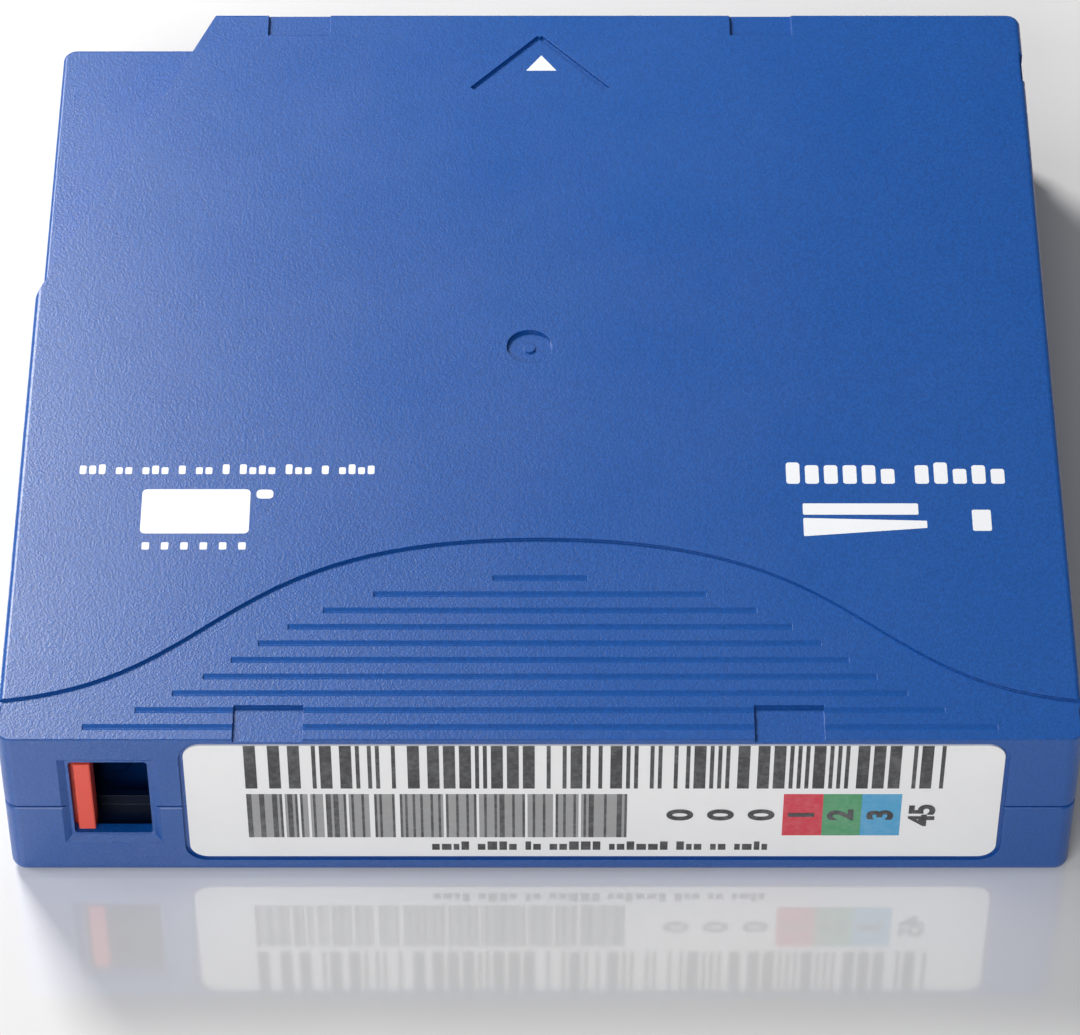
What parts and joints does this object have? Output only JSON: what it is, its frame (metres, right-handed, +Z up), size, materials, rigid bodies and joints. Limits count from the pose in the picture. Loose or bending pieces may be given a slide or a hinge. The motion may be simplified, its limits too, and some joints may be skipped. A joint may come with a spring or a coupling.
{
  "type": "data tape cartridge",
  "caption": "Square flat data tape cartridge: moulded two-part case round one braked tape reel, with a sliding tape door, a write-protect slider and a label field.",
  "frame": {"origin": "centre of the underside of the case's bounding box", "axes": "+Z up through the top face, -Y towards the label, +Y the way the cartridge goes into a drive, +X across the case to the side with the tape door"},
  "size_m": [0.1054, 0.102, 0.0215],
  "materials": {
    "case_plastic": "fine spark-eroded matt, moulded blue",
    "door_plastic": "fine matt, moulded blue",
    "reel_plastic": "smooth satin, natural off-white",
    "white_plastic": "smooth satin white",
    "dark_plastic": "smooth satin black",
    "red_plastic": "smooth satin red",
    "label_paper": "semi-gloss printed paper label",
    "tape_film": "smooth dark tape edges",
    "screw_steel": "zinc-plated",
    "plate_steel": "fine turned",
    "spring_steel": "bright drawn wire",
    "board_green": "lacquered circuit board"
  },
  "bodies": {
    "case": {"lower_case": "case_plastic", "upper_case": "case_plastic", "case_screws": "screw_steel", "label": "label_paper", "brake_spring": "spring_steel", "door_spring": "spring_steel", "leader_pin": "plate_steel", "leader_tape": "tape_film", "pin_clamp": "dark_plastic", "lower_pin_spring": "spring_steel", "upper_pin_spring": "spring_steel", "memory_board": "board_green", "memory_chip": "dark_plastic"},
    "reel": {"reel_hub": "reel_plastic", "upper_flange": "reel_plastic", "tape_pack": "tape_film", "drive_plate": "plate_steel"},
    "brake": {"brake_button": "dark_plastic"},
    "pad": {"release_pad": "white_plastic"},
    "slider": {"write_protect_slider": "red_plastic"},
    "door": {"access_door": "door_plastic"}
  },
  "joints": [
    {"name": "reel_spin", "type": "hinge", "parent": "case", "child": "reel", "pos_m": [-0.0011, 0.0008, 0.01], "axis": [0, 0, 1], "continuous": true},
    {"name": "brake_lift", "type": "slide", "parent": "case", "child": "brake", "axis": [0, 0, 1], "range_m": [0, 0.002], "stiffness_N_per_m": 600, "springref_m": -0.008, "deforming": ["brake_spring"]},
    {"name": "pad_lift", "type": "slide", "parent": "reel", "child": "pad", "axis": [0, 0, 1], "range_m": [0, 0.002]},
    {"name": "slider_slide", "type": "slide", "parent": "case", "child": "slider", "axis": [1, 0, 0], "range_m": [0, 0.0054]},
    {"name": "door_slide", "type": "slide", "parent": "case", "child": "door", "axis": [0, -1, 0], "range_m": [0, 0.0132], "stiffness_N_per_m": 30, "springref_m": -0.02, "deforming": ["door_spring"]}
  ],
  "couplings": [
    {"joint": "pad_lift", "follows": "brake_lift", "ratio": 1}
  ]
}
